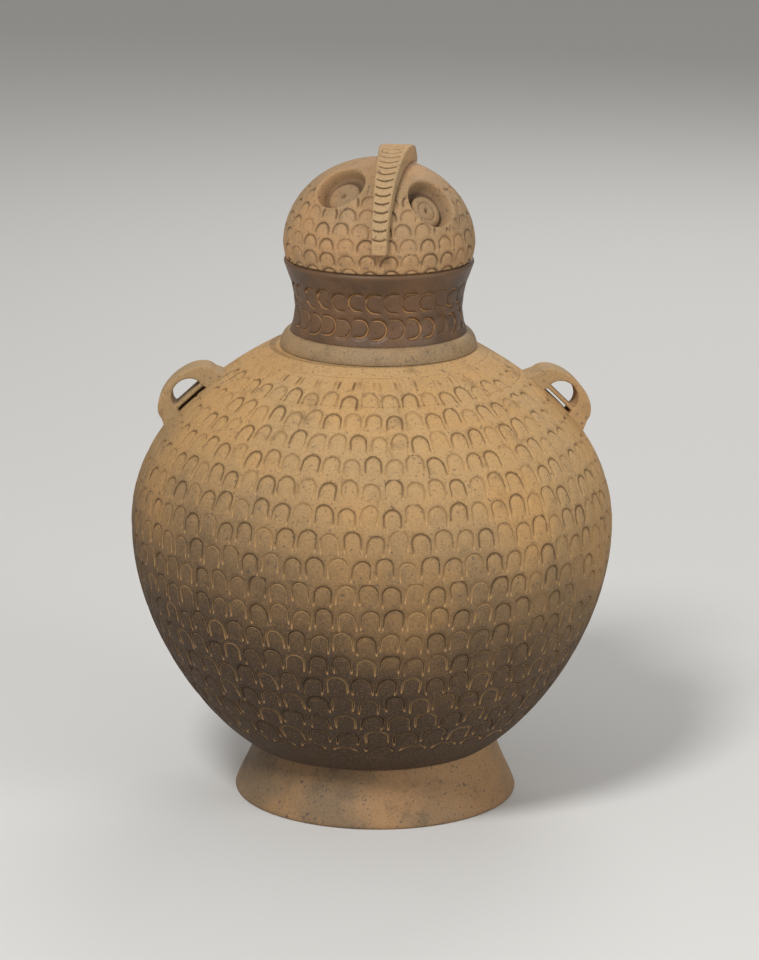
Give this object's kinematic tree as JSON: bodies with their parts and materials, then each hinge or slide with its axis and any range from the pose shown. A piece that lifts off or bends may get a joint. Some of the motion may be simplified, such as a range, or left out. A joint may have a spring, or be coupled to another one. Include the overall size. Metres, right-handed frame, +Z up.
{
  "type": "lidded jar",
  "caption": "Rounded earthenware jar with a stamped body, two loop lugs and a lift-off owl-head lid.",
  "frame": {"origin": "on the floor, under the middle of the belly", "axes": "+Z up along the jar, the owl's face looks along -Y, +X to the owl viewer's right"},
  "size_m": [0.2528, 0.2528, 0.3464],
  "materials": {
    "foot_clay": "fired, matt",
    "lower_clay": "fired, matt",
    "body_clay": "fired, matt",
    "neck_clay": "fired, slight sheen",
    "lid_clay": "fired, matt"
  },
  "bodies": {
    "jar": {"foot_ring": "foot_clay", "belly_lower": "lower_clay", "belly_upper": "body_clay", "neck": "neck_clay", "collar_band": "body_clay", "lug_left": "body_clay", "lug_right": "body_clay"},
    "lid": {"lid_dome": "lid_clay", "lid_flange": "lid_clay", "beak_crest": "lid_clay", "eye_left": "lid_clay", "eye_right": "lid_clay"}
  },
  "joints": [
    {"name": "lid_lift", "type": "slide", "parent": "jar", "child": "lid", "axis": [0, 0, 1], "range_m": [0, 0.08]}
  ]
}
